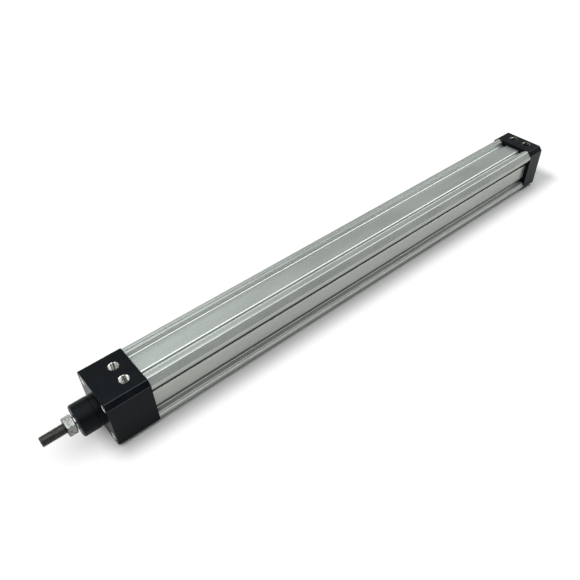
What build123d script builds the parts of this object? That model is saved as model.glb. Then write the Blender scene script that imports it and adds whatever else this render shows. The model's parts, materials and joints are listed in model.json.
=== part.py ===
from build123d import *
import os

# Double-acting pneumatic cylinder with a profiled barrel, in millimetres.
# The origin is the centre of the front cap's outer face, on the rod's axis.
# +X is the way the rod comes out, +Z is the side with the ports, +Y is to the left of the rod.
# The rod is fully retracted.

# Travel
stroke = 500.0
end_gap = 0.25

# Caps
cap_chamfer = 4.5
cap_bevel = 0.5
front_cap_length = 40.5
rear_cap_length = 23.0
spigot_length = 6.0
collar_step = 0.2
collar_height = 4.2
centring_radius = 15.0
centring_depth = 3.0

# Barrel, from the bore outwards
bore_radius = 20.0
barrel_wall = 3.4
plateau_half_width = 9.1
plateau_round = 1.4
channel_straight = 0.3
channel_round = 1.1
land_rise = 2.5
land_width = 2.5
rib_rise = 1.3
rib_width = 3.4
barrel_corner = 5.6
corner_round = 1.5
barrel_inset = 0.3

# Cap screws, whose heads carry the female mounting threads
screw_inset = 8.5
screw_radius = 2.7
screw_head_radius = 4.3
front_head_length = 14.0
rear_head_length = 11.0
screw_grip = 20.0
mount_thread_radius = 3.0
mount_thread_bevel = 0.3
head_floor = 4.0
hex_key = 5.0
hex_key_depth = 2.5

# Air ports and cushion needles
port_radius = 4.864
port_depth = 12.0
port_offset_y = 9.1
port_from_barrel = 14.5
port_bevel = 0.35
port_passage_radius = 3.0
needle_pocket_depth = 11.0
needle_radius = 3.0
needle_shaft = 4.9
needle_ring_radius = 2.1
needle_ring_width = 1.2
needle_ring_drop = 3.3
needle_neck_radius = 1.8
needle_neck = 0.7
needle_tip_radius = 0.5
needle_cone = 2.2
needle_slot_width = 0.9
needle_slot_depth = 1.1
needle_cavity_depth = 6.9
seat_radius = 1.3
bleed_radius = 0.75
bleed_drop = 5.9

# Rod gland, the black nose in front of the cap
gland_radius = 15.0
gland_front = 20.0
gland_rear_bevel = 0.35
gland_front_bevel = 1.0
gland_wall = 2.0
gland_thread_length = 20.2
gland_ring_depth = 1.7
gland_ring_width = 2.2
gland_ring_gap = 2.6
wiper_wall = 3.6
wiper_depth = 4.0
wiper_lip = 0.4
bush_wall = 1.5
bush_length = 18.0
seal_wall = 3.0
seal_depth = 5.5
washer_thickness = 1.5
washer_play = 0.2

# Rod and its end
rod_radius = 6.0
shoulder_gap = 1.6
thread_radius = 5.0
thread_relief_depth = 0.8
thread_relief_length = 1.0
thread_end = 51.0
thread_bevel = 1.0
centre_radius = 1.25
centre_depth = 3.0
nut_across_flats = 16.0
nut_angle = 37.7
nut_thickness = 8.0
nut_gap = 0.2
thread_middle_drop = 0.4
nut_crown = 0.85

# Piston and cushions
piston_length = 26.0
piston_play = 0.2
stud_step = 2.0
stud_bevel = 0.6
stud_reach = 13.0
piston_seal_inset = 2.5
piston_seal_width = 4.0
piston_seal_depth = 4.8
lip_depth = 1.6
guide_width = 8.0
guide_thickness = 1.9
magnet_cover = 2.8
magnet_thickness = 7.0
magnet_width = 6.0
piston_ring_depth = 1.5
piston_ring_width = 2.0
piston_ring_inset = 8.0
cushion_wall = 2.5
cushion_bevel = 0.8
front_cushion_length = 18.0
cushion_flange = 2.0
cushion_nut_length = 16.0
spanner_slot_width = 2.0
spanner_slot_depth = 1.5
chamber_room = 2.0
cushion_lip = 1.2
cushion_lip_play = 0.7
cushion_seal_width = 4.0
cushion_seal_wall = 2.9
rear_chamber_floor = 3.0

# Seals between the caps and the barrel
barrel_ring_depth = 2.1
barrel_ring_width = 2.6

# Clearances on the radius or at each side
running = 0.03
seal_play = 0.05
spigot_play = 0.1
thread_play = 0.05
shank_play = 0.6
head_play = 0.2
seat_play = 0.05

# How near a corner of the barrel's outline lies to where it is looked for
corner_match = 0.01

# Places along the rod's axis
barrel_length = stroke + piston_length + 2 * end_gap + 2 * spigot_length
front_joint = -front_cap_length
rear_joint = front_joint - barrel_length
rear_end = rear_joint - rear_cap_length
piston_rear = rear_joint + spigot_length + end_gap
piston_front = piston_rear + piston_length
piston_middle = (piston_rear + piston_front) / 2
front_port_x = front_joint + port_from_barrel
rear_port_x = rear_joint - port_from_barrel
gland_end = collar_height - gland_thread_length
gland_floor = gland_end - washer_thickness
bush_rear = gland_end + seal_depth
gland_ring_x = bush_rear + gland_ring_gap
chamber_end = rear_end + centring_depth + rear_chamber_floor
piston_ring_x = piston_front - piston_ring_inset
rod_shoulder = gland_front + shoulder_gap
nut_rear = rod_shoulder + nut_gap
nut_front = nut_rear + nut_thickness
thread_start = nut_front + nut_gap
stud_shoulder = piston_front + cushion_flange
stud_end = piston_rear - stud_reach

# Sizes that follow from the driving ones
plateau_height = bore_radius + barrel_wall
channel_floor = plateau_height - plateau_round - channel_straight - channel_round
land_height = plateau_height + land_rise
barrel_half = land_height + rib_rise
rib_end = barrel_half - barrel_corner
rib_start = rib_end - rib_width
channel_end = rib_start - land_width
cap_half = barrel_half + barrel_inset
cap_size = 2 * cap_half
screw_spacing = cap_size - 2 * screw_inset
collar_radius = gland_radius - collar_step
gland_thread_radius = rod_radius + seal_wall + gland_wall
thread_relief_radius = thread_radius - thread_relief_depth
nut_seat_radius = thread_radius - thread_middle_drop
stud_radius = rod_radius - stud_step
piston_ring_radius = stud_radius + piston_ring_depth
cushion_radius = rod_radius + cushion_wall
chamber_radius = cushion_radius + chamber_room
piston_radius = bore_radius - piston_play
magnet_outer_radius = piston_radius - magnet_cover
magnet_inner_radius = magnet_outer_radius - magnet_thickness
spigot_radius = bore_radius - spigot_play
needle_top = cap_half - needle_pocket_depth
cavity_floor = needle_top - needle_cavity_depth
cushion_groove_radius = cushion_radius + cushion_seal_wall + seal_play


def turned_bar(x_from, x_to, radius, mode=Mode.ADD):
    """A round bar along the rod's axis."""
    with BuildSketch(Plane.XY) as profile:
        with Locations(((x_from + x_to) / 2, radius / 2)):
            Rectangle(abs(x_to - x_from), radius)
    revolve(profile.sketch, axis=Axis.X, mode=mode)


def turned_ring(x_from, x_to, inner, outer, mode=Mode.ADD):
    """A ring around the rod's axis, between two radii."""
    with BuildSketch(Plane.XY) as profile:
        with Locations(((x_from + x_to) / 2, (inner + outer) / 2)):
            Rectangle(abs(x_to - x_from), outer - inner)
    revolve(profile.sketch, axis=Axis.X, mode=mode)


def bored(x_from, x_to, radius):
    """A round bore along the rod's axis."""
    turned_bar(x_from, x_to, radius, mode=Mode.SUBTRACT)


def grooved(x_from, x_to, inner, outer):
    """A turned groove around the rod's axis."""
    turned_ring(x_from, x_to, inner, outer, mode=Mode.SUBTRACT)


def cap_block(x_from, x_to):
    """The square block of a cap with its four long edges chamfered."""
    with BuildSketch(Plane.YZ.offset(x_from)) as outline:
        Rectangle(cap_size, cap_size)
        chamfer(outline.vertices(), cap_chamfer)
    extrude(outline.sketch, amount=x_to - x_from)


def cap_spigot(x_joint, into_barrel):
    """The turned spigot that centres a cap in the barrel, with the groove for its seal."""
    x_ring = x_joint + into_barrel * spigot_length / 2
    turned_bar(x_joint, x_joint + into_barrel * spigot_length, spigot_radius)
    grooved(
        x_ring - barrel_ring_width / 2,
        x_ring + barrel_ring_width / 2,
        spigot_radius - barrel_ring_depth,
        bore_radius,
    )


def cushion_mouth(x_joint, into_barrel):
    """The opening for the cushion spigot, with the groove that holds its seal behind a lip."""
    x_end = x_joint + into_barrel * spigot_length
    x_groove = x_end - into_barrel * cushion_lip
    x_inside = x_groove - into_barrel * cushion_seal_width
    bored(x_end, x_groove, cushion_radius + cushion_lip_play)
    bored(x_groove, x_inside, cushion_groove_radius)


def air_ways(x_port, x_joint, into_barrel):
    """The air port, the needle's pocket beside it, its seat and its bleed to the piston side."""
    x_end = x_joint + into_barrel * spigot_length
    z_bleed = needle_top - bleed_drop
    with Locations((x_port, port_offset_y, cap_half)):
        CounterBoreHole(port_passage_radius, port_radius, port_depth, depth=cap_half)
    with Locations((x_port, -port_offset_y, cap_half)):
        Hole(port_radius, depth=needle_pocket_depth)
    with Locations((x_port, -port_offset_y, needle_top)):
        Hole(needle_radius + running, depth=needle_cavity_depth)
    with Locations((x_port, -port_offset_y, cavity_floor)):
        Hole(seat_radius, depth=cavity_floor)
    with BuildSketch(Plane((x_port, -port_offset_y, z_bleed), z_dir=(into_barrel, 0, 0))) as bleed:
        Circle(bleed_radius)
    extrude(bleed.sketch, amount=abs(x_end - x_port), mode=Mode.SUBTRACT)


def screw_holes(x_face, outward, head_length, depth):
    """Four stepped holes for the cap screws."""
    with Locations(Plane((x_face, 0, 0), x_dir=(0, 1, 0), z_dir=(outward, 0, 0))):
        with GridLocations(screw_spacing, screw_spacing, 2, 2):
            CounterBoreHole(
                screw_radius + shank_play,
                screw_head_radius + head_play,
                head_length,
                depth=depth,
            )


def cap_screws(x_face, outward, head_length, cap_length):
    """Four collar screws with a female thread and a key socket in each head."""
    thread_depth = head_length - head_floor
    shank_length = cap_length - head_length + screw_grip
    face = Plane((x_face, 0, 0), x_dir=(0, 1, 0), z_dir=(-outward, 0, 0))
    with BuildSketch(face) as heads:
        with GridLocations(screw_spacing, screw_spacing, 2, 2):
            Circle(screw_head_radius)
    extrude(heads.sketch, amount=head_length)
    with BuildSketch(face.offset(head_length)) as shanks:
        with GridLocations(screw_spacing, screw_spacing, 2, 2):
            Circle(screw_radius)
    extrude(shanks.sketch, amount=shank_length)
    with BuildSketch(face) as mount_threads:
        with GridLocations(screw_spacing, screw_spacing, 2, 2):
            Circle(mount_thread_radius)
    extrude(mount_threads.sketch, amount=thread_depth, mode=Mode.SUBTRACT)
    with BuildSketch(face.offset(thread_depth)) as sockets:
        with GridLocations(screw_spacing, screw_spacing, 2, 2):
            RegularPolygon(hex_key / 2, 6, major_radius=False)
    extrude(sockets.sketch, amount=hex_key_depth, mode=Mode.SUBTRACT)


def needle(x_port):
    """A slotted cushion needle, standing on its tip."""
    z_groove = needle_top - needle_ring_drop
    z_neck = needle_top - needle_shaft
    z_cone = z_neck - needle_neck
    z_tip = z_cone - needle_cone
    axis = Plane((x_port, -port_offset_y, 0), x_dir=(1, 0, 0), z_dir=(0, -1, 0))
    with BuildSketch(axis) as profile:
        with BuildLine():
            Polyline(
                (0, needle_top),
                (needle_radius, needle_top),
                (needle_radius, z_groove),
                (needle_ring_radius, z_groove),
                (needle_ring_radius, z_groove - needle_ring_width),
                (needle_radius, z_groove - needle_ring_width),
                (needle_radius, z_neck),
                (needle_neck_radius, z_neck),
                (needle_neck_radius, z_cone),
                (needle_tip_radius, z_tip),
                (0, z_tip),
                close=True,
            )
        make_face()
    revolve(profile.sketch, axis=Axis((x_port, -port_offset_y, 0), (0, 0, 1)))
    with BuildSketch(Plane((x_port, -port_offset_y, needle_top))) as slot:
        Rectangle(3 * needle_radius, needle_slot_width)
    extrude(slot.sketch, amount=-needle_slot_depth, mode=Mode.SUBTRACT)


def needle_ring(x_port):
    """The small sealing ring in the needle's groove."""
    z_middle = needle_top - needle_ring_drop - needle_ring_width / 2
    middle_radius = (needle_ring_radius + needle_radius) / 2
    axis = Plane((x_port, -port_offset_y, 0), x_dir=(1, 0, 0), z_dir=(0, -1, 0))
    with BuildSketch(axis) as profile:
        with Locations((middle_radius, z_middle)):
            Rectangle(
                needle_radius - needle_ring_radius - seal_play,
                needle_ring_width - 2 * seal_play,
            )
    revolve(profile.sketch, axis=Axis((x_port, -port_offset_y, 0), (0, 0, 1)))


def pressed_ring(x_middle, inner, outer):
    """A rubber ring pressed between two radii, flat where it touches them."""
    across = outer - inner - 2 * seal_play
    with BuildSketch(Plane.XY) as profile:
        with Locations((x_middle, (inner + outer) / 2)):
            RegularPolygon(across / 2, 6, major_radius=False)
    revolve(profile.sketch, axis=Axis.X)


def lip_ring(x_back, x_lips, inner, outer):
    """A lip seal: a flat back at x_back and two lips parted by a notch at x_lips."""
    middle = (inner + outer) / 2
    notch = (outer - inner) / 5
    x_notch = x_lips + (lip_depth if x_back > x_lips else -lip_depth)
    with BuildSketch(Plane.XY) as profile:
        with BuildLine():
            Polyline(
                (x_back, inner),
                (x_lips, inner),
                (x_lips, middle - notch),
                (x_notch, middle),
                (x_lips, middle + notch),
                (x_lips, outer),
                (x_back, outer),
                close=True,
            )
        make_face()
    revolve(profile.sketch, axis=Axis.X)


def corners_at(outline, height, side):
    """The eight like corners of the barrel's outline: height above a face, distance to its side."""
    return outline.vertices().filter_by(
        lambda corner: abs(max(abs(corner.X), abs(corner.Y)) - height) < corner_match
        and abs(min(abs(corner.X), abs(corner.Y)) - side) < corner_match
    )


def piston_half(x_face, inward):
    """One half of the piston, from its outer face to the parting plane."""
    x_seal = x_face + inward * piston_seal_inset
    turned_ring(x_face, piston_middle, stud_radius + seat_play, piston_radius)
    grooved(
        x_seal,
        x_seal + inward * piston_seal_width,
        piston_radius - piston_seal_depth,
        bore_radius,
    )
    grooved(
        piston_middle - guide_width / 2,
        piston_middle + guide_width / 2,
        piston_radius - guide_thickness,
        bore_radius,
    )
    grooved(
        piston_middle - magnet_width / 2,
        piston_middle + magnet_width / 2,
        magnet_inner_radius - seat_play,
        magnet_outer_radius + seat_play,
    )


# Extruded barrel: one eighth of the outline, mirrored into the whole section
with BuildPart() as barrel:
    with BuildSketch(Plane.YZ.offset(rear_joint)) as section:
        with BuildLine() as quarter:
            eighth = Polyline(
                (0, plateau_height),
                (plateau_half_width, plateau_height),
                (plateau_half_width, channel_floor),
                (channel_end, channel_floor),
                (channel_end, land_height),
                (rib_start, land_height),
                (rib_start, barrel_half),
                (rib_end, barrel_half),
                (barrel_half - barrel_corner / 2, barrel_half - barrel_corner / 2),
            )
            mirror(eighth, about=Plane((0, 0, 0), z_dir=(1, -1, 0)))
            Line((0, plateau_height), (0, 0))
            Line((0, 0), (plateau_height, 0))
        make_face()
        mirror(section.sketch_local, about=Plane.YZ)
        mirror(section.sketch_local, about=Plane.XZ)
        for height, side, radius in (
            (plateau_height, plateau_half_width, plateau_round),
            (channel_floor, plateau_half_width, channel_round),
            (channel_floor, channel_end, channel_round),
            (barrel_half, rib_end, corner_round),
        ):
            fillet(corners_at(section.sketch_local, height, side), radius)
        Circle(bore_radius, mode=Mode.SUBTRACT)
        with GridLocations(screw_spacing, screw_spacing, 2, 2):
            Circle(screw_radius + thread_play, mode=Mode.SUBTRACT)
    extrude(amount=barrel_length)
barrel.part.label = "barrel"

# Front cap: block, collar under the gland, spigot, gland thread, cushion chamber and air ways
with BuildPart() as front_cap:
    cap_block(front_joint, 0)
    chamfer(front_cap.faces().sort_by(Axis.X)[-1].edges(), cap_bevel)
    turned_bar(0, collar_height, collar_radius)
    cap_spigot(front_joint, -1)
    bored(gland_floor, collar_height, gland_thread_radius + thread_play)
    bored(front_joint - spigot_length + cushion_lip, gland_floor, chamber_radius)
    cushion_mouth(front_joint, -1)
    screw_holes(0, 1, front_head_length, front_cap_length)
    air_ways(front_port_x, front_joint, -1)
    port_rims = front_cap.edges().filter_by(GeomType.CIRCLE).group_by(Axis.Z)[-1]
    chamfer(port_rims, port_bevel)
front_cap.part.label = "front_cap"

# Rear cap: block, spigot, closed cushion chamber, centring recess and air ways
with BuildPart() as rear_cap:
    cap_block(rear_end, rear_joint)
    chamfer(rear_cap.faces().sort_by(Axis.X)[0].edges(), cap_bevel)
    cap_spigot(rear_joint, 1)
    bored(rear_end, rear_end + centring_depth, centring_radius)
    bored(chamber_end, rear_joint + spigot_length - cushion_lip, chamber_radius)
    cushion_mouth(rear_joint, 1)
    screw_holes(rear_end, -1, rear_head_length, rear_cap_length)
    air_ways(rear_port_x, rear_joint, 1)
    port_rims = rear_cap.edges().filter_by(GeomType.CIRCLE).group_by(Axis.Z)[-1]
    chamfer(port_rims, port_bevel)
rear_cap.part.label = "rear_cap"

# Rod gland: flange, threaded stem with a seal groove, and the steps for wiper, bush and seal
with BuildPart() as rod_gland:
    turned_bar(collar_height, gland_front, gland_radius)
    chamfer(rod_gland.edges().filter_by(GeomType.CIRCLE).sort_by(Axis.X)[-1], gland_front_bevel)
    chamfer(rod_gland.edges().filter_by(GeomType.CIRCLE).sort_by(Axis.X)[0], gland_rear_bevel)
    turned_bar(gland_end, collar_height, gland_thread_radius)
    grooved(
        gland_ring_x - gland_ring_width / 2,
        gland_ring_x + gland_ring_width / 2,
        gland_thread_radius - gland_ring_depth,
        gland_radius,
    )
    bored(gland_end, gland_front, rod_radius + bush_wall)
    bored(gland_front - wiper_depth, gland_front, rod_radius + wiper_wall)
    bored(gland_end, bush_rear, rod_radius + seal_wall)
rod_gland.part.label = "rod_gland"

with BuildPart() as gland_o_ring:
    pressed_ring(
        gland_ring_x,
        gland_thread_radius - gland_ring_depth,
        gland_thread_radius + thread_play,
    )
gland_o_ring.part.label = "gland_o_ring"

# Sintered bush that guides the rod
with BuildPart() as rod_bush:
    turned_ring(
        bush_rear,
        bush_rear + bush_length,
        rod_radius + running,
        rod_radius + bush_wall - seat_play,
    )
rod_bush.part.label = "rod_bush"

# Wiper in the mouth of the gland, with a thin lip on the rod
with BuildPart() as rod_wiper:
    with BuildSketch(Plane.XY):
        with BuildLine():
            Polyline(
                (gland_front - wiper_depth, rod_radius + running),
                (gland_front + wiper_lip, rod_radius + running),
                (gland_front + wiper_lip, rod_radius + wiper_lip),
                (gland_front, rod_radius + wiper_wall / 2),
                (gland_front, rod_radius + wiper_wall - seat_play),
                (gland_front - wiper_depth, rod_radius + wiper_wall - seat_play),
                close=True,
            )
        make_face()
    revolve(axis=Axis.X)
rod_wiper.part.label = "rod_wiper"

with BuildPart() as rod_seal:
    lip_ring(
        bush_rear,
        gland_end + seal_play,
        rod_radius + running,
        rod_radius + seal_wall - seat_play,
    )
rod_seal.part.label = "rod_seal"

# Washer that keeps the rod seal in the gland
with BuildPart() as seal_washer:
    turned_ring(gland_floor, gland_end, rod_radius + washer_play, gland_thread_radius)
seal_washer.part.label = "seal_washer"

with BuildPart() as front_barrel_seal:
    pressed_ring(front_joint - spigot_length / 2, spigot_radius - barrel_ring_depth, bore_radius)
front_barrel_seal.part.label = "front_barrel_seal"

with BuildPart() as rear_barrel_seal:
    pressed_ring(rear_joint + spigot_length / 2, spigot_radius - barrel_ring_depth, bore_radius)
rear_barrel_seal.part.label = "rear_barrel_seal"

# Cushion seals: each opens towards the piston
with BuildPart() as front_cushion_seal:
    lip_ring(
        front_joint - spigot_length + cushion_lip + cushion_seal_width,
        front_joint - spigot_length + cushion_lip,
        cushion_radius + running,
        cushion_radius + cushion_seal_wall,
    )
front_cushion_seal.part.label = "front_cushion_seal"

with BuildPart() as rear_cushion_seal:
    lip_ring(
        rear_joint + spigot_length - cushion_lip - cushion_seal_width,
        rear_joint + spigot_length - cushion_lip,
        cushion_radius + running,
        cushion_radius + cushion_seal_wall,
    )
rear_cushion_seal.part.label = "rear_cushion_seal"

with BuildPart() as front_cap_screws:
    cap_screws(0, 1, front_head_length, front_cap_length)
    head_rims = front_cap_screws.edges().filter_by(GeomType.CIRCLE).group_by(Axis.X)[-1]
    chamfer(head_rims, mount_thread_bevel)
front_cap_screws.part.label = "front_cap_screws"

with BuildPart() as rear_cap_screws:
    cap_screws(rear_end, -1, rear_head_length, rear_cap_length)
    head_rims = rear_cap_screws.edges().filter_by(GeomType.CIRCLE).group_by(Axis.X)[0]
    chamfer(head_rims, mount_thread_bevel)
rear_cap_screws.part.label = "rear_cap_screws"

with BuildPart() as front_needle:
    needle(front_port_x)
front_needle.part.label = "front_needle"

with BuildPart() as rear_needle:
    needle(rear_port_x)
rear_needle.part.label = "rear_needle"

with BuildPart() as front_needle_ring:
    needle_ring(front_port_x)
front_needle_ring.part.label = "front_needle_ring"

with BuildPart() as rear_needle_ring:
    needle_ring(rear_port_x)
rear_needle_ring.part.label = "rear_needle_ring"

# Piston rod: stud for the piston, chromed length, relief and end thread with a centre hole
with BuildPart() as piston_rod:
    with BuildSketch(Plane.XY):
        with BuildLine():
            Polyline(
                (stud_end, 0),
                (stud_end, stud_radius - stud_bevel),
                (stud_end + stud_bevel, stud_radius),
                (stud_shoulder, stud_radius),
                (stud_shoulder, rod_radius),
                (rod_shoulder, rod_radius),
                (rod_shoulder, thread_relief_radius),
                (rod_shoulder + thread_relief_length, thread_relief_radius),
                (rod_shoulder + thread_relief_length, nut_seat_radius),
                (thread_start, nut_seat_radius),
                (thread_start, thread_radius),
                (thread_end - thread_bevel, thread_radius),
                (thread_end, thread_radius - thread_bevel),
                (thread_end, centre_radius),
                (thread_end - centre_depth, centre_radius),
                (thread_end - centre_depth - centre_radius, 0),
                close=True,
            )
        make_face()
    revolve(axis=Axis.X)
piston_rod.part.label = "piston_rod"

# Jam nut with both faces crowned
with BuildPart() as rod_nut:
    with BuildSketch(Plane.YZ.offset(nut_rear)):
        RegularPolygon(nut_across_flats / 2, 6, major_radius=False, rotation=nut_angle)
    extrude(amount=nut_thickness)
    crown_radius = nut_across_flats / 2
    with BuildSketch(Plane.XY):
        with BuildLine():
            Polyline(
                (nut_rear, 0),
                (nut_rear, crown_radius),
                (nut_rear + nut_crown, crown_radius * 1.18),
                (nut_front - nut_crown, crown_radius * 1.18),
                (nut_front, crown_radius),
                (nut_front, 0),
                close=True,
            )
        make_face()
    revolve(axis=Axis.X, mode=Mode.INTERSECT)
    bored(nut_rear, nut_front, nut_seat_radius + running)
rod_nut.part.label = "rod_nut"

with BuildPart() as piston_front_half:
    piston_half(piston_front, -1)
    grooved(
        piston_ring_x - piston_ring_width / 2,
        piston_ring_x + piston_ring_width / 2,
        stud_radius,
        piston_ring_radius,
    )
piston_front_half.part.label = "piston_front_half"

with BuildPart() as piston_rear_half:
    piston_half(piston_rear, 1)
piston_rear_half.part.label = "piston_rear_half"

with BuildPart() as piston_magnet:
    turned_ring(
        piston_middle - magnet_width / 2,
        piston_middle + magnet_width / 2,
        magnet_inner_radius,
        magnet_outer_radius,
    )
piston_magnet.part.label = "piston_magnet"

with BuildPart() as piston_o_ring:
    pressed_ring(piston_ring_x, stud_radius, piston_ring_radius)
piston_o_ring.part.label = "piston_o_ring"

# Wear band and lip seals, which stay put in the bore while the piston turns inside them
with BuildPart() as piston_guide_ring:
    turned_ring(
        piston_middle - guide_width / 2 + seal_play,
        piston_middle + guide_width / 2 - seal_play,
        piston_radius - guide_thickness + seal_play,
        bore_radius - running,
    )
piston_guide_ring.part.label = "piston_guide_ring"

with BuildPart() as piston_seal_front:
    lip_ring(
        piston_front - piston_seal_inset - piston_seal_width + seal_play,
        piston_front - piston_seal_inset - seal_play,
        piston_radius - piston_seal_depth + seal_play,
        bore_radius - running,
    )
piston_seal_front.part.label = "piston_seal_front"

with BuildPart() as piston_seal_rear:
    lip_ring(
        piston_rear + piston_seal_inset + piston_seal_width - seal_play,
        piston_rear + piston_seal_inset + seal_play,
        piston_radius - piston_seal_depth + seal_play,
        bore_radius - running,
    )
piston_seal_rear.part.label = "piston_seal_rear"

# Front cushion sleeve: slides over the rod, its flange clamped between rod and piston
with BuildPart() as front_cushion_sleeve:
    turned_bar(piston_front, piston_front + front_cushion_length, cushion_radius)
    sleeve_nose = front_cushion_sleeve.edges().filter_by(GeomType.CIRCLE).sort_by(Axis.X)[-1]
    chamfer(sleeve_nose, cushion_bevel)
    bored(piston_front, stud_shoulder, stud_radius + seat_play)
    bored(stud_shoulder, piston_front + front_cushion_length, rod_radius + seat_play)
front_cushion_sleeve.part.label = "front_cushion_sleeve"

# Cushion nut: holds the piston on the stud and is the rear cushion spigot
with BuildPart() as cushion_nut:
    turned_bar(piston_rear - cushion_nut_length, piston_rear, cushion_radius)
    nut_nose = cushion_nut.edges().filter_by(GeomType.CIRCLE).sort_by(Axis.X)[0]
    chamfer(nut_nose, cushion_bevel)
    bored(piston_rear - cushion_nut_length, piston_rear, stud_radius + seat_play)
    with BuildSketch(Plane.YZ.offset(piston_rear - cushion_nut_length)):
        Rectangle(3 * cushion_radius, spanner_slot_width)
    extrude(amount=spanner_slot_depth, mode=Mode.SUBTRACT)
cushion_nut.part.label = "cushion_nut"

os.makedirs("parts", exist_ok=True)
for piece in (
    barrel,
    front_cap,
    rear_cap,
    rod_gland,
    gland_o_ring,
    rod_bush,
    rod_wiper,
    rod_seal,
    seal_washer,
    front_barrel_seal,
    rear_barrel_seal,
    front_cushion_seal,
    rear_cushion_seal,
    front_cap_screws,
    rear_cap_screws,
    front_needle,
    rear_needle,
    front_needle_ring,
    rear_needle_ring,
    piston_rod,
    rod_nut,
    piston_front_half,
    piston_rear_half,
    piston_magnet,
    piston_o_ring,
    piston_guide_ring,
    piston_seal_front,
    piston_seal_rear,
    front_cushion_sleeve,
    cushion_nut,
):
    export_step(piece.part, f"parts/{piece.part.label}.step")
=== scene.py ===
import json
import math

import bmesh
import bpy
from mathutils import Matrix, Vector


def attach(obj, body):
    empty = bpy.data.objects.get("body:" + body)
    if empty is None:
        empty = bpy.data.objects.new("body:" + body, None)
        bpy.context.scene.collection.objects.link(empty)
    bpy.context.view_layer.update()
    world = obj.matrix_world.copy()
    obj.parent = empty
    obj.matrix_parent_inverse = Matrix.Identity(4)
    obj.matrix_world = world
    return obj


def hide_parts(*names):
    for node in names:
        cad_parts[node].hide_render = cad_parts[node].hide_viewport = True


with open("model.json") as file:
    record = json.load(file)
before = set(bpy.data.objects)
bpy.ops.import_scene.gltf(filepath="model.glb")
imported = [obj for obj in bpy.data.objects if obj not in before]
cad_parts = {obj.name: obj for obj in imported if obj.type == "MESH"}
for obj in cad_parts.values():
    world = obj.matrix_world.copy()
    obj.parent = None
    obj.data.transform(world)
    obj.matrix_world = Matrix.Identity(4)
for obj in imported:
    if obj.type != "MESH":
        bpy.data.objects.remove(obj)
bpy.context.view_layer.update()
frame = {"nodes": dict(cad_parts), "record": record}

MM = 0.001
nodes = frame["nodes"]

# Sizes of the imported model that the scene's own pieces and marks follow, in millimetres
FLOOR_Z = -27.5
FRONT_PORT_X = -26.0
REAR_PORT_X = -593.5
PORT_Y = 9.1
PORT_MOUTH_Z = 27.5
PORT_FLOOR_Z = 15.5
POCKET_FLOOR_Z = 16.5
SCREW_OFFSET = 19.0
FRONT_FACE_X = 0.0
REAR_FACE_X = -602.0
CAP_CORNER_INNER = 23.0
CAP_CORNER_OUTER = 27.5

ROD_RADIUS = 6.0
STUD_RADIUS = 4.0
STUD_BEVEL = 0.6
STUD_END_X = -585.75
STUD_SHOULDER_X = -544.75
ROD_SHOULDER_X = 21.6
ROD_SHOULDER_BEVEL = 0.4
RELIEF_RADIUS = 4.2
RELIEF_END_X = 22.6
THREAD_END_X = 51.0
THREAD_BEVEL = 1.0
ROD_THREAD_PITCH = 1.25
ROD_THREAD_MAJOR = 4.96
ROD_THREAD_MINOR = 4.233
CENTRE_RADIUS = 1.25
CENTRE_DEPTH = 3.0
CENTRE_BEVEL = 0.35

NUT_REAR_X = 21.8
NUT_FRONT_X = 29.8
NUT_ACROSS_FLATS = 16.0
NUT_CORNER_DEG = 37.7
NUT_CORNER_CUT = 0.13
NUT_FACE_RADIUS = 7.75
NUT_BORE_RADIUS = 5.03
NUT_COUNTERSINK_RADIUS = 5.45
NUT_CHAMFER_DEG = 30.0

PORT_THREAD_PITCH = 0.907
PORT_THREAD_MAJOR = 4.86
PORT_THREAD_MINOR = 4.283
PORT_SLEEVE_RADIUS = 4.9
PORT_THREAD_INSET = 0.6
SCREW_THREAD_PITCH = 1.0
SCREW_THREAD_MAJOR = 2.99
SCREW_THREAD_MINOR = 2.459
SCREW_SLEEVE_RADIUS = 3.03
SCREW_THREAD_INSET = 0.4
FRONT_SCREW_THREAD = 9.9
REAR_SCREW_THREAD = 6.9
PORT_SLEEVE_LIFT = 0.05
ROD_STEPS = 64
NUT_STEPS = 144
PORT_STEPS = 48
SCREW_STEPS = 32

# A 60-degree thread with flat crests and roots, as (share of the pitch, whether on the crest)
THREAD_FORM = ((-1 / 16, True), (1 / 16, True), (3 / 8, False), (5 / 8, False))

# Marks on the surfaces, in millimetres, some of them painted highlights and painted shade. A lip is
# its distance from the middle line of the barrel's face and its height above the axis.
# painted highlight: the caps' base colour is lighter within this reach of their long edges
CAP_HIGHLIGHT_REACH = 0.5
BARE_HOLE_REACH = 4.88
BARREL_LIPS = ((8.75, 23.05), (15.7, 24.6), (15.7, 23.5), (15.6, 22.4), (15.1, 21.2))
# painted highlight: the barrel's base colour is lighter within this reach of the lips, half as much
# on the sides
LIP_HIGHLIGHT_REACH = 0.9
HIGHLIGHT_SHARE_ON_SIDES = 0.5
# painted shade: the barrel's side channels are darker below this height
CHANNEL_SHADE_HEIGHT = 22.0
# painted shade: the nut's chamfers are darker beyond these distances from its middle
NUT_SHADE_FROM = 3.2
NUT_SHADE_TO = 3.6
ROD_THREAD_MARGIN = 0.1
STUD_MARGIN = 0.05

# Clean-up of meshes: distances in millimetres, angles in degrees
MERGE_DISTANCE = 0.002
DEGENERATE_DISTANCE = 0.0005
CREASE_DEG = 34
FLAT_DEG = 0.4
EDGE_DEG = 28

# Camera, as fitted to the photograph
CAMERA_LENS = 37.613
CAMERA_SENSOR = 36.0
CAMERA_PLACE = (0.0648357, 0.3461853, 0.4197383)
CAMERA_TURN_DEG = (46.97289, 1.39685, 139.96140)
CAMERA_CLIP = (0.01, 50.0)

# Floor, with its own glow: none beside the object, rising over two reaches away from it. Holding
# the glow back over a patch round the object, stretched behind its rear end, paints shadow there.
FLOOR_HALF_M = 9.0
FLOOR_COLOUR = (0.375, 0.362, 0.359)
FLOOR_GLOW_COLOUR = (1.0, 0.995, 0.98)
FLOOR_ROUGHNESS = 0.9
FLOOR_SPECULAR = 0.1
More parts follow.
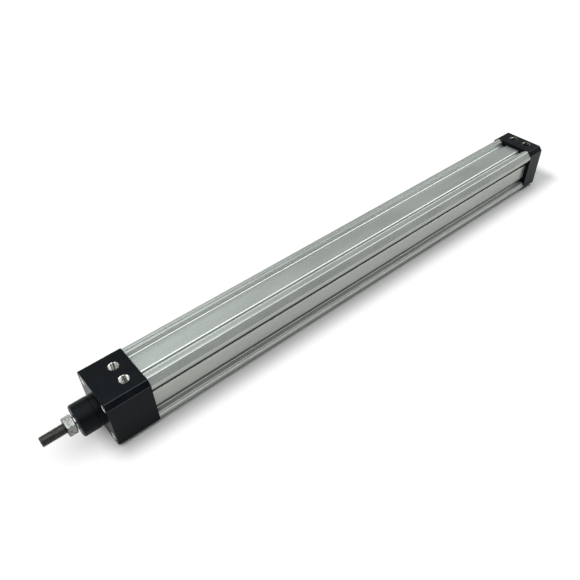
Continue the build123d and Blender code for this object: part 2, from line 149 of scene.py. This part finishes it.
# painted shadow: the floor has no glow over this patch round the object, stretched behind its rear
# end
SHADED_PATCH_MIDDLE_X = -319.0
SHADED_PATCH_HALF_LENGTH = 311.0
SHADED_PATCH_HALF_WIDTH = 27.5
GLOW_NEAR = 24.0
GLOW_NEAR_RISE = 0.42
GLOW_FAR = 450.0
GLOW_FAR_RISE = 0.44

# World: each light is a ramp (to low, to high, from low, from high) over a part of the direction
BEHIND_X = -0.45
BEHIND_Y = -0.9
BEHIND_LIGHT = (0.12, 0.36, -0.35, 0.65)
AHEAD_LIGHT = (0.0, 0.3, 0.1, 0.9)
OVERHEAD_LIGHT = (0.0, 0.30, 0.45, 0.75)
HORIZON_BAND = (1.0, 0.0, 0.24, 0.40)
STUDIO_TINT = (0.93, 1.0, 1.01)
WHITE = (1.0, 1.0, 1.0)

# Softboxes: name, place, target, width, height in metres and power in watts
LAMP_COLOUR = (0.95, 1.0, 1.0)
SOFTBOXES = (
    ("top_softbox", (0.3, 0.0, 2.5), (0.3, 0.0, 0.0), 3.0, 3.6, 86.0),
    ("front_softbox", (2.0, 0.2, 1.5), (0.0, 0.0, 0.0), 1.8, 2.4, 34.0),
    ("rear_softbox", (-2.3, 0.4, 2.3), (-0.6, 0.1, 0.0), 2.2, 2.2, 40.0),
)


# Camera

camera_data = bpy.data.cameras.new("camera")
camera_data.lens = CAMERA_LENS
camera_data.sensor_width = CAMERA_SENSOR
camera_data.clip_start, camera_data.clip_end = CAMERA_CLIP
camera = bpy.data.objects.new("camera", camera_data)
camera.location = CAMERA_PLACE
camera.rotation_euler = [math.radians(angle) for angle in CAMERA_TURN_DEG]
bpy.context.scene.collection.objects.link(camera)
bpy.context.scene.camera = camera
bpy.context.scene.view_settings.view_transform = "Standard"


# Mesh building: every round piece is made of rings around its own axis

class Rings:
    """Collects strips of faces around an axis and welds them into one closed mesh."""

    def __init__(self, steps):
        self.steps = steps
        self.mesh = bmesh.new()

    def angle(self, i):
        return 2 * math.pi * i / self.steps

    def grid(self, columns, lead=0):
        """Joins columns of points into faces.

        columns[i][k] is the (along, radius) of row k at step i. The last step meets the first
        one lead rows further on.
        """
        made = []
        for i, column in enumerate(columns):
            c, s = math.cos(self.angle(i)), math.sin(self.angle(i))
            made.append([self.mesh.verts.new((a * MM, r * c * MM, r * s * MM)) for a, r in column])
        rows = len(columns[0])
        for i in range(self.steps):
            j = (i + 1) % self.steps
            shift = lead if j == 0 else 0
            here, there = made[i], made[j]
            for k in range(rows - 1):
                low, high = min(k + shift, rows - 1), min(k + 1 + shift, rows - 1)
                if low == high:
                    corners = [here[k], here[k + 1], there[low]]
                else:
                    corners = [here[k], here[k + 1], there[high], there[low]]
                self.mesh.faces.new(corners)

    def turn(self, profile):
        """A turned surface through (along, radius) points."""
        self.grid([list(profile)] * self.steps)

    def thread(self, start, end, pitch, major, minor, start_radius, end_radius, limit=None):
        """A right-handed thread, run out into a ring at both ends."""
        turns = math.ceil((end - start) / pitch) + 3
        columns = []
        for i in range(self.steps):
            column = []
            for turn in range(turns):
                for share, on_crest in THREAD_FORM:
                    radius = major if on_crest else minor
                    along = start + (turn - 1 + share + i / self.steps) * pitch
                    if along <= start:
                        column.append((start, start_radius))
                    elif along >= end:
                        column.append((end, end_radius))
                    else:
                        column.append((along, min(radius, limit(along)) if limit else radius))
            columns.append(column)
        self.grid(columns, lead=len(THREAD_FORM))

    def piece(self, name, place=None):
        """The finished mesh object. place moves a point from the ring's axis to its own place."""
        mesh = self.mesh
        bmesh.ops.remove_doubles(mesh, verts=mesh.verts, dist=MERGE_DISTANCE * MM)
        bmesh.ops.dissolve_degenerate(mesh, edges=mesh.edges, dist=DEGENERATE_DISTANCE * MM)
        if place:
            for vertex in mesh.verts:
                vertex.co = place(vertex.co)
        bmesh.ops.recalc_face_normals(mesh, faces=mesh.faces)
        data = bpy.data.meshes.new(name)
        mesh.to_mesh(data)
        mesh.free()
        data.polygons.foreach_set("use_smooth", [True] * len(data.polygons))
        data.set_sharp_from_angle(angle=math.radians(CREASE_DEG))
        made = bpy.data.objects.new(name, data)
        bpy.context.scene.collection.objects.link(made)
        return made


def make_rod():
    """Chromed rod with its stud, thread relief, rolled end thread and centre hole."""
    rings = Rings(ROD_STEPS)
    bevel_start_x = THREAD_END_X - THREAD_BEVEL
    rings.turn([
        (STUD_END_X, 0),
        (STUD_END_X, STUD_RADIUS - STUD_BEVEL),
        (STUD_END_X + STUD_BEVEL, STUD_RADIUS),
        (STUD_SHOULDER_X, STUD_RADIUS),
        (STUD_SHOULDER_X, ROD_RADIUS),
        (ROD_SHOULDER_X - ROD_SHOULDER_BEVEL, ROD_RADIUS),
        (ROD_SHOULDER_X, ROD_RADIUS - ROD_SHOULDER_BEVEL),
        (ROD_SHOULDER_X, RELIEF_RADIUS),
        (RELIEF_END_X, RELIEF_RADIUS),
    ])
    rings.thread(
        RELIEF_END_X, THREAD_END_X, ROD_THREAD_PITCH, ROD_THREAD_MAJOR, ROD_THREAD_MINOR,
        RELIEF_RADIUS, ROD_THREAD_MAJOR - THREAD_BEVEL,
        limit=lambda along: ROD_THREAD_MAJOR - max(0.0, along - bevel_start_x),
    )
    rings.turn([
        (THREAD_END_X, ROD_THREAD_MAJOR - THREAD_BEVEL),
        (THREAD_END_X, CENTRE_RADIUS + CENTRE_BEVEL),
        (THREAD_END_X - CENTRE_BEVEL, CENTRE_RADIUS),
        (THREAD_END_X - CENTRE_DEPTH, CENTRE_RADIUS),
        (THREAD_END_X - CENTRE_DEPTH - CENTRE_RADIUS, 0),
    ])
    return rings.piece("piston_rod_threaded")


def make_nut():
    """Jam nut: hexagon with thirty-degree chamfers, so each flat ends in a curved edge."""
    rings = Rings(NUT_STEPS)
    half = NUT_ACROSS_FLATS / 2
    corner = half / math.cos(math.pi / 6) - NUT_CORNER_CUT
    slope = math.tan(math.radians(NUT_CHAMFER_DEG))

    def flat_radius(i):
        from_flat = (math.degrees(rings.angle(i)) - NUT_CORNER_DEG) % 60 - 30
        return min(half / math.cos(math.radians(from_flat)), corner)

    sink = (NUT_COUNTERSINK_RADIUS - NUT_BORE_RADIUS) * slope
    columns = []
    for i in range(NUT_STEPS):
        radius = flat_radius(i)
        drop = (radius - NUT_FACE_RADIUS) * slope
        columns.append([
            (NUT_REAR_X + sink, NUT_BORE_RADIUS),
            (NUT_REAR_X, NUT_COUNTERSINK_RADIUS),
            (NUT_REAR_X, NUT_FACE_RADIUS),
            (NUT_REAR_X + drop, radius),
            (NUT_FRONT_X - drop, radius),
            (NUT_FRONT_X, NUT_FACE_RADIUS),
            (NUT_FRONT_X, NUT_COUNTERSINK_RADIUS),
            (NUT_FRONT_X - sink, NUT_BORE_RADIUS),
            (NUT_REAR_X + sink, NUT_BORE_RADIUS),
        ])
    rings.grid(columns)
    return rings.piece("rod_nut_chamfered")


def make_sleeve(name, length, pitch, major, minor, outer, steps, place):
    """The threaded lining of a tapped hole, from its mouth at 0 inwards to length."""
    rings = Rings(steps)
    rings.thread(0.0, length, pitch, major, minor, major, major)
    rings.turn([(0.0, major), (0.0, outer), (length, outer), (length, major)])
    return rings.piece(name, place)


def down_at(x, y, z):
    """A place whose axis goes down from a mouth in the top face."""
    return lambda p: Vector((x * MM + p.y, y * MM - p.z, z * MM - p.x))


def along_x_at(x, y, z, inward):
    """A place whose axis goes into an end face."""
    return lambda p: Vector((x * MM + inward * p.x, y * MM + p.y, z * MM + inward * p.z))


# Materials

class Nodes:
    """Makes shader nodes in one node tree."""

    def __init__(self, tree):
        self.tree = tree

    def feed(self, socket, value):
        """Links a socket or sets a number, vector or colour on it."""
        if isinstance(value, bpy.types.NodeSocket):
            self.tree.links.new(value, socket)
        elif socket.type == "RGBA":
            socket.default_value = (*value, 1)
        else:
            socket.default_value = value

    def node(self, kind, values=None, **settings):
        made = self.tree.nodes.new(kind)
        for key, value in settings.items():
            setattr(made, key, value)
        for key, value in (values or {}).items():
            self.feed(made.inputs[key], value)
        return made

    def math(self, operation, a, b=0.0, c=0.0):
        made = self.node("ShaderNodeMath", {0: a, 1: b, 2: c}, operation=operation)
        return made.outputs[0]

    def spread(self, value, low, high, from_low=0.3, from_high=0.7):
        """Maps a range, at first the usual one of noise, smoothly to another one."""
        made = self.node("ShaderNodeMapRange", {
            "Value": value, "From Min": from_low, "From Max": from_high,
            "To Min": low, "To Max": high,
        }, interpolation_type="SMOOTHSTEP")
        return made.outputs[0]

    def mix(self, share, a, b):
        return self.node("ShaderNodeMix", {0: share, 6: a, 7: b}, data_type="RGBA").outputs[2]

    def split(self, vector):
        return self.node("ShaderNodeSeparateXYZ", {0: vector}).outputs

    def square_distance(self, u, v, u_mm, v_mm):
        """The square of the distance from (u, v) to a fixed point."""
        du = self.math("SUBTRACT", u, u_mm * MM)
        dv = self.math("SUBTRACT", v, v_mm * MM)
        return self.math("ADD", self.math("MULTIPLY", du, du), self.math("MULTIPLY", dv, dv))


class Look(Nodes):
    """A procedural material around one Principled shader."""

    def __init__(self, name, metallic, specular=0.5):
        self.material = bpy.data.materials.new(name)
        self.material.use_nodes = True
        super().__init__(self.material.node_tree)
        self.shader = self.tree.nodes["Principled BSDF"]
        self.set("Metallic", metallic)
        self.set("Specular IOR Level", specular)
        self.place = self.node("ShaderNodeTexCoord").outputs["Object"]
        self.height = None

    def set(self, name, value):
        self.feed(self.shader.inputs[name], value)

    def noise(self, scale, detail=2.0, roughness=0.5, stretch=(1, 1, 1), distortion=0.0):
        """Noise of a scale per metre, stretched along the axes."""
        place = self.node("ShaderNodeMapping", {"Vector": self.place, "Scale": stretch}).outputs[0]
        made = self.node("ShaderNodeTexNoise", {
            "Vector": place, "Scale": scale, "Detail": detail, "Roughness": roughness,
            "Distortion": distortion,
        })
        return made.outputs["Fac"]

    def bump(self, value, depth_mm):
        """Adds relief of a depth in millimetres."""
        values = {"Height": value, "Distance": depth_mm * MM, "Strength": 1.0}
        if self.height:
            values["Normal"] = self.height
        self.height = self.node("ShaderNodeBump", values).outputs[0]
        self.set("Normal", self.height)

    def near(self, points, reach_mm):
        """1 within reach of the vertical axes through these (x, y) points, else 0."""
        x, y, _ = self.split(self.place)
        found = None
        for x_mm, y_mm in points:
            square = self.square_distance(x, y, x_mm, y_mm)
            one = self.math("LESS_THAN", square, (reach_mm * MM) ** 2)
            found = one if found is None else self.math("MAXIMUM", found, one)
        return found

    def across(self):
        """How far a point lies from the X axis, sideways and upwards."""
        _, y, z = self.split(self.place)
        return self.math("ABSOLUTE", y), self.math("ABSOLUTE", z)

    def cap_edge_highlight(self):
        """1 on the long edges of the chamfered caps, fading to 0 over a reach: where a painted
        highlight goes.
        """
        y, z = self.across()
        square = self.math(
            "MINIMUM",
            self.square_distance(y, z, CAP_CORNER_INNER, CAP_CORNER_OUTER),
            self.square_distance(y, z, CAP_CORNER_OUTER, CAP_CORNER_INNER),
        )
        reach = CAP_HIGHLIGHT_REACH * MM
        return self.spread(self.math("SQRT", square), 1, 0, 0.2 * reach, reach)

    def barrel_highlight_and_shade(self):
        """Two shares: a painted highlight near the barrel's lips, half as strong on the sides, and
        painted shade low in its side channels.
        """
        y, z = self.across()
        height = self.math("MAXIMUM", y, z)
        side = self.math("MINIMUM", y, z)
        nearest = None
        for lip_side, lip_height in BARREL_LIPS:
            square = self.square_distance(side, height, lip_side, lip_height)
            nearest = square if nearest is None else self.math("MINIMUM", nearest, square)
        reach = LIP_HIGHLIGHT_REACH * MM
        near = self.spread(self.math("SQRT", nearest), 1, 0, 0.4 * reach, reach)
        sideways = self.math("GREATER_THAN", y, z)
        # the painted highlight is weaker on the side faces than on the top and bottom
        share = self.math("MULTIPLY_ADD", sideways, HIGHLIGHT_SHARE_ON_SIDES - 1, 1.0)
        low = self.math("LESS_THAN", height, CHANNEL_SHADE_HEIGHT * MM)
        return self.math("MULTIPLY", near, share), self.math("MULTIPLY", sideways, low)


def anodised_barrel():
    """Drawn and satin anodised aluminium: fine die lines along X, faint clouds, matt grain."""
    look = Look("anodised_barrel", 0.75)
    die_lines = look.noise(1.0, 3.0, 0.6, stretch=(4, 1500, 1500))
    soft_lines = look.noise(1.0, stretch=(2, 260, 260))
    clouds = look.noise(38.0, 3.0, 0.55, stretch=(0.35, 1, 1))
    grain = look.noise(5200.0, 1.0)
    lip_highlight, channel_shade = look.barrel_highlight_and_shade()
    tone = look.mix(look.spread(clouds, 0, 1), (0.340, 0.350, 0.328), (0.367, 0.378, 0.355))
    tone = look.mix(look.spread(soft_lines, 0.0, 0.35), tone, (0.332, 0.342, 0.321))
    # painted shade: darker base colour low in the side channels, under the ribs
    tone = look.mix(channel_shade, tone, (0.115, 0.117, 0.108))
    # painted highlight: lighter base colour near the lips
    look.set("Base Color", look.mix(lip_highlight, tone, (0.62, 0.63, 0.60)))
    satin = look.spread(die_lines, 0.260, 0.320)
    look.set("Roughness", look.math("ADD", satin, look.spread(clouds, -0.02, 0.03)))
    look.bump(die_lines, 0.0012)
    look.bump(grain, 0.0012)
    return look.material


def black_coating(name, satin_low, satin_high, on_cap):
    """Black satin coating with a faint orange peel.

    On the caps it has a painted highlight along the long edges and gives way to bare metal in the
    tapped holes.
    """
    look = Look(name, 0.0, specular=0.075)
    peel = look.noise(900.0)
    fine = look.noise(4200.0, 1.0)
    patches = look.noise(70.0, 3.0, 0.6)
    tone = look.mix(look.spread(patches, 0, 1), (0.0010, 0.0018, 0.0028), (0.0020, 0.0030, 0.0042))
    satin = look.spread(patches, satin_low, satin_high)
    satin = look.math("ADD", satin, look.spread(peel, -0.02, 0.02))
    if on_cap:
        # painted highlight along the caps' long edges
        tone = look.mix(look.cap_edge_highlight(), tone, (0.032, 0.037, 0.041))
        holes = [(x, y) for x in (FRONT_PORT_X, REAR_PORT_X) for y in (PORT_Y, -PORT_Y)]
        bare = look.near(holes, BARE_HOLE_REACH)
        tone = look.mix(bare, tone, (0.56, 0.552, 0.515))
        satin = look.math("MULTIPLY_ADD", bare, 0.15, satin)
        look.set("Metallic", bare)
    look.set("Base Color", tone)
    look.set("Roughness", satin)
    look.bump(peel, 0.004)
    look.bump(fine, 0.001)
    return look.material


def turned_metal(name, dark, light, rough_low, rough_high, axis=0):
    """Bare turned metal: fine lathe lines across its axis and faint clouds."""
    look = Look(name, 1.0)
    stretch = [40.0, 40.0, 40.0]
    stretch[axis] = 2600.0
    lines = look.noise(1.0, 2.0, 0.6, stretch=stretch)
    clouds = look.noise(160.0, 3.0, 0.6)
    look.set("Base Color", look.mix(look.spread(clouds, 0, 1), dark, light))
    look.set("Roughness", look.spread(lines, rough_low, rough_high))
    look.bump(lines, 0.003)
    return look.material


def bare_bore():
    """Bright metal inside a tapped hole, with light and dark streaks along the hole's axis."""
    look = Look("bare_tapped_thread", 1.0)
    streaks = look.noise(1.0, stretch=(620, 620, 25))
    bright = look.spread(streaks, 0, 1, 0.38, 0.6)
    look.set("Base Color", look.mix(bright, (0.09, 0.089, 0.076), (0.60, 0.592, 0.55)))
    look.set("Roughness", look.spread(streaks, 0.28, 0.16))
    return look.material


def smudged_nut():
    """Bright plated nut with grey smudges, fine tool marks and painted shade on the chamfers."""
    look = Look("smudged_nut", 1.0)
    smudges = look.noise(330.0, 4.0, 0.6, distortion=0.6)
    lines = look.noise(1.0, 2.0, 0.6, stretch=(2400, 200, 200))
    smudged = look.spread(smudges, 0, 1, 0.42, 0.62)
    plated = look.mix(smudged, (0.235, 0.235, 0.226), (0.085, 0.085, 0.080))
    middle = (NUT_REAR_X + NUT_FRONT_X) / 2 * MM
    x = look.split(look.place)[0]
    from_middle = look.math("ABSOLUTE", look.math("SUBTRACT", x, middle))
    # painted shade on the chamfers
    chamfer_shade = look.spread(from_middle, 0, 1, NUT_SHADE_FROM * MM, NUT_SHADE_TO * MM)
    look.set("Base Color", look.mix(chamfer_shade, plated, (0.07, 0.07, 0.066)))
    look.set("Roughness", look.spread(smudges, 0.20, 0.36))
    look.bump(lines, 0.003)
    return look.material


def rod_steel():
    """Hard chrome on the rod's length and darker rolled steel on its threads."""
    look = Look("rod_steel", 1.0)
    x = look.split(look.place)[0]
    thread = look.math("GREATER_THAN", x, (ROD_SHOULDER_X + ROD_THREAD_MARGIN) * MM)
    stud = look.math("LESS_THAN", x, (STUD_SHOULDER_X - STUD_MARGIN) * MM)
    threaded = look.math("MAXIMUM", thread, stud)
    polish = look.noise(1.0, 2.0, 0.6, stretch=(3400, 60, 60))
    stains = look.noise(420.0, 3.0, 0.6)
    steel = look.mix(look.spread(stains, 0, 1), (0.052, 0.051, 0.045), (0.105, 0.102, 0.092))
    look.set("Base Color", look.mix(threaded, (0.42, 0.43, 0.44), steel))
    plain = look.spread(polish, 0.07, 0.13)
    rolled = look.spread(stains, 0.32, 0.44)
    rise = look.math("SUBTRACT", rolled, plain)
    look.set("Roughness", look.math("MULTIPLY_ADD", threaded, rise, plain))
    look.bump(polish, 0.0006)
    return look.material


def moulded(name, dark, light, roughness):
    """Rubber or plastic with a fine moulded skin."""
    look = Look(name, 0.0, specular=0.4)
    skin = look.noise(1400.0)
    clouds = look.noise(120.0)
    look.set("Base Color", look.mix(look.spread(clouds, 0, 1), dark, light))
    look.set("Roughness", look.spread(skin, roughness - 0.06, roughness + 0.06))
    look.bump(skin, 0.004)
    return look.material


looks = {
    "barrel_aluminium": anodised_barrel(),
    "black_cap": black_coating("black_cap_coating", 0.30, 0.37, on_cap=True),
    "black_gland": black_coating("black_gland_coating", 0.40, 0.47, on_cap=False),
    "rod_steel": rod_steel(),
    "nut_plating": smudged_nut(),
    "screw_steel": turned_metal(
        "zinc_screw", (0.50, 0.50, 0.49), (0.64, 0.64, 0.62), 0.24, 0.36),
    "needle_brass": turned_metal(
        "needle_brass", (0.56, 0.47, 0.30), (0.68, 0.58, 0.40), 0.20, 0.32, axis=2),
    "bush_bronze": turned_metal(
        "bush_bronze", (0.36, 0.24, 0.13), (0.48, 0.33, 0.19), 0.40, 0.52),
    "seal_rubber": moulded(
        "seal_rubber", (0.008, 0.008, 0.009), (0.014, 0.014, 0.015), 0.55),
    "wiper_polyurethane": moulded(
        "wiper_polyurethane", (0.009, 0.012, 0.017), (0.014, 0.019, 0.027), 0.42),
    "guide_polymer": moulded(
        "guide_polymer", (0.30, 0.26, 0.18), (0.38, 0.33, 0.24), 0.5),
    "piston_aluminium": turned_metal(
        "piston_aluminium", (0.62, 0.62, 0.62), (0.72, 0.72, 0.71), 0.26, 0.38),
    "magnet_plastoferrite": moulded(
        "magnet_plastoferrite", (0.05, 0.05, 0.052), (0.08, 0.08, 0.082), 0.6),
}
bare_thread = bare_bore()


def wear(piece, look):
    piece.data.materials.clear()
    piece.data.materials.append(look)
    for polygon in piece.data.polygons:
        polygon.material_index = 0


for entry in frame["record"]["subparts"]:
    wear(nodes[entry["node"]], looks[entry["material_slot"]])


# Small roundings on the machined edges of the solids, which catch the light as the real ones do

def rounded(name, width_mm, segments=2):
    node = nodes[name]
    weld = node.modifiers.new("weld", "WELD")
    weld.merge_threshold = DEGENERATE_DISTANCE * MM
    flat = node.modifiers.new("flat", "DECIMATE")
    flat.decimate_type = "DISSOLVE"
    flat.angle_limit = math.radians(FLAT_DEG)
    bevel = node.modifiers.new("edges", "BEVEL")
    bevel.width = width_mm * MM
    bevel.segments = segments
    bevel.limit_method = "ANGLE"
    bevel.angle_limit = math.radians(EDGE_DEG)
    bevel.use_clamp_overlap = False
    bevel.harden_normals = False
    normals = node.modifiers.new("normals", "WEIGHTED_NORMAL")
    normals.keep_sharp = False
    node.data.polygons.foreach_set("use_smooth", [True] * len(node.data.polygons))


rounded("barrel", 0.45, 3)
rounded("front_cap", 0.25)
rounded("rear_cap", 0.25)
rounded("rod_gland", 0.2)
rounded("front_cap_screws", 0.12)
rounded("rear_cap_screws", 0.12)


# Pieces of the scene's own

rod = make_rod()
wear(rod, looks["rod_steel"])
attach(rod, "rod_body")
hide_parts("piston_rod")

nut = make_nut()
wear(nut, looks["nut_plating"])
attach(nut, "nut_body")
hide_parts("rod_nut")

for end, x in (("front", FRONT_PORT_X), ("rear", REAR_PORT_X)):
    for use, y, floor_z in (
        ("port", PORT_Y, PORT_FLOOR_Z),
        ("needle_pocket", -PORT_Y, POCKET_FLOOR_Z),
    ):
        mouth = PORT_MOUTH_Z - PORT_THREAD_INSET
        sleeve = make_sleeve(
            f"{end}_{use}_thread", mouth - floor_z - PORT_SLEEVE_LIFT, PORT_THREAD_PITCH,
            PORT_THREAD_MAJOR, PORT_THREAD_MINOR, PORT_SLEEVE_RADIUS, PORT_STEPS,
            down_at(x, y, mouth),
        )
        wear(sleeve, bare_thread)
        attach(sleeve, "barrel_body")

for end, x, inward, depth in (
    ("front", FRONT_FACE_X, -1, FRONT_SCREW_THREAD),
    ("rear", REAR_FACE_X, 1, REAR_SCREW_THREAD),
):
    for number, (y, z) in enumerate(((1, 1), (-1, 1), (-1, -1), (1, -1)), start=1):
        sleeve = make_sleeve(
            f"{end}_screw_thread_{number}", depth - SCREW_THREAD_INSET, SCREW_THREAD_PITCH,
            SCREW_THREAD_MAJOR, SCREW_THREAD_MINOR, SCREW_SLEEVE_RADIUS, SCREW_STEPS,
            along_x_at(x + inward * SCREW_THREAD_INSET, y * SCREW_OFFSET, z * SCREW_OFFSET, inward),
        )
        wear(sleeve, looks["screw_steel"])
        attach(sleeve, "barrel_body")


# Floor, world and lamps

def make_floor():
    """A pale floor that keeps the object's shadow and glows only for rays that show it. The glow is
    held back round the object's footprint, which adds painted shadow there to the real one.
    """
    data = bpy.data.meshes.new("floor")
    half, z = FLOOR_HALF_M, FLOOR_Z * MM
    corners = [(-half, -half, z), (half, -half, z), (half, half, z), (-half, half, z)]
    data.from_pydata(corners, [], [(0, 1, 2, 3)])
    floor = bpy.data.objects.new("floor", data)
    bpy.context.scene.collection.objects.link(floor)

    look = Look("pale_floor", 0.0, specular=FLOOR_SPECULAR)
    look.set("Base Color", FLOOR_COLOUR)
    look.set("Roughness", FLOOR_ROUGHNESS)
    look.set("Emission Color", FLOOR_GLOW_COLOUR)
    x, y, _ = look.split(look.place)
    squares = []
    for along, middle, half_size in (
        (x, SHADED_PATCH_MIDDLE_X, SHADED_PATCH_HALF_LENGTH),
        (y, 0.0, SHADED_PATCH_HALF_WIDTH),
    ):
        offset = look.math("ABSOLUTE", look.math("SUBTRACT", along, middle * MM))
        outside = look.math("MAXIMUM", look.math("SUBTRACT", offset, half_size * MM), 0.0)
        squares.append(look.math("MULTIPLY", outside, outside))
    # painted shadow: the glow rises with the distance from the patch round the object
    away = look.math("SQRT", look.math("ADD", *squares))
    glow = look.math(
        "ADD",
        look.spread(away, 0.0, GLOW_NEAR_RISE, 0.0, GLOW_NEAR * MM),
        look.spread(away, 0.0, GLOW_FAR_RISE, 0.0, GLOW_FAR * MM),
    )
    rays = look.node("ShaderNodeLightPath").outputs
    shown = look.math("MAXIMUM", rays["Is Camera Ray"], rays["Is Glossy Ray"])
    shown = look.math("MAXIMUM", shown, rays["Is Transmission Ray"])
    look.set("Emission Strength", look.math("MULTIPLY", shown, glow))
    data.materials.append(look.material)


make_floor()


def make_world():
    """Soft studio surroundings: brighter behind the object and overhead, white at the horizon."""
    world = bpy.data.worlds.new("studio")
    bpy.context.scene.world = world
    world.use_nodes = True
    sky = Nodes(world.node_tree)
    background = sky.tree.nodes["Background"]
    x, y, z = sky.split(sky.node("ShaderNodeTexCoord").outputs["Generated"])
    behind = sky.math(
        "ADD", sky.math("MULTIPLY", x, BEHIND_X), sky.math("MULTIPLY", y, BEHIND_Y))
    light = sky.math("ADD", sky.spread(behind, *BEHIND_LIGHT), sky.spread(x, *AHEAD_LIGHT))
    light = sky.math("ADD", light, sky.spread(z, *OVERHEAD_LIGHT))
    horizon = sky.spread(sky.math("ABSOLUTE", z), *HORIZON_BAND)
    rest = sky.math("SUBTRACT", 1.0, light)
    light = sky.math("ADD", light, sky.math("MULTIPLY", rest, horizon))
    sky.feed(background.inputs["Color"], sky.mix(horizon, STUDIO_TINT, WHITE))
    sky.feed(background.inputs["Strength"], light)


make_world()


def softbox(name, place, target, width, height, power):
    data = bpy.data.lights.new(name, "AREA")
    data.shape = "RECTANGLE"
    data.size = width
    data.size_y = height
    data.energy = power
    data.color = LAMP_COLOUR
    lamp = bpy.data.objects.new(name, data)
    lamp.location = place
    lamp.rotation_euler = (Vector(place) - Vector(target)).to_track_quat("Z", "Y").to_euler()
    bpy.context.scene.collection.objects.link(lamp)


for box in SOFTBOXES:
    softbox(*box)
